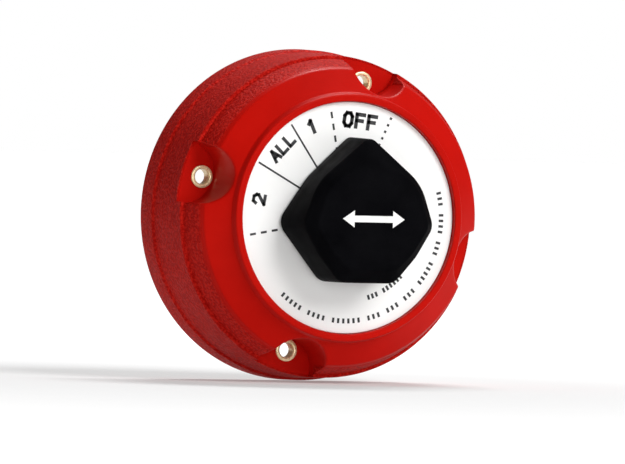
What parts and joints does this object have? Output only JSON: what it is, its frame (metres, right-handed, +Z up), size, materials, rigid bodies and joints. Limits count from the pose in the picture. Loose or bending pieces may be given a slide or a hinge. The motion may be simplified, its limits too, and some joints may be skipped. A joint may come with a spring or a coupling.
{
  "type": "battery selector switch",
  "caption": "Round surface-mount boat battery selector: moulded drum case with scalloped screw pockets, printed position dial and a pointer knob on a turning contact shaft.",
  "frame": {"origin": "on the selector's axis, in the plane of the case's rear rim (the bulkhead's face)", "axes": "+Y into the bulkhead, so the dial and knob face -Y; +Z up, the OFF position the knob points at; +X to the right seen from the front"},
  "size_m": [0.1336, 0.0801, 0.1336],
  "materials": {
    "red_plastic": "moulded, semi-gloss, fine grain on the drum wall",
    "knob_plastic": "moulded, satin",
    "white_plastic": "smooth, printed in black",
    "phenolic": "moulded phenolic, fine filler grain",
    "brass": "turned, lightly tarnished",
    "copper": "stamped copper",
    "steel": "plated",
    "rubber": "matte"
  },
  "bodies": {
    "housing": {"case": "red_plastic", "dial_plate": "white_plastic", "eyelet_top": "brass", "eyelet_left": "brass", "eyelet_bottom": "brass", "eyelet_right": "brass", "shaft_bush": "brass", "shaft_seal": "rubber", "thrust_washer": "steel", "base_plate": "phenolic", "base_screw_1": "steel", "base_screw_2": "steel", "base_screw_3": "steel", "fixed_contact_1": "copper", "fixed_contact_2": "copper", "fixed_contact_common": "copper", "stud_1": "brass", "stud_2": "brass", "stud_common": "brass", "flat_washer_1": "brass", "flat_washer_2": "brass", "flat_washer_common": "brass", "clamp_nut_1": "brass", "clamp_nut_2": "brass", "clamp_nut_common": "brass", "lock_washer_1": "steel", "lock_washer_2": "steel", "lock_washer_common": "steel", "terminal_nut_1": "brass", "terminal_nut_2": "brass", "terminal_nut_common": "brass", "detent_leaf": "steel", "detent_screw": "steel"},
    "selector": {"knob": "knob_plastic", "knob_mark": "white_plastic", "knob_set_screw": "steel", "shaft": "steel", "rotor": "phenolic", "retaining_ring": "steel", "moving_contact": "copper", "contact_spring": "steel"}
  },
  "joints": [
    {"name": "selector_turn", "type": "hinge", "parent": "housing", "child": "selector", "pos_m": [0, 0, 0], "axis": [0, -1, 0], "range_deg": [0, 81], "deforming": ["detent_leaf"]}
  ]
}
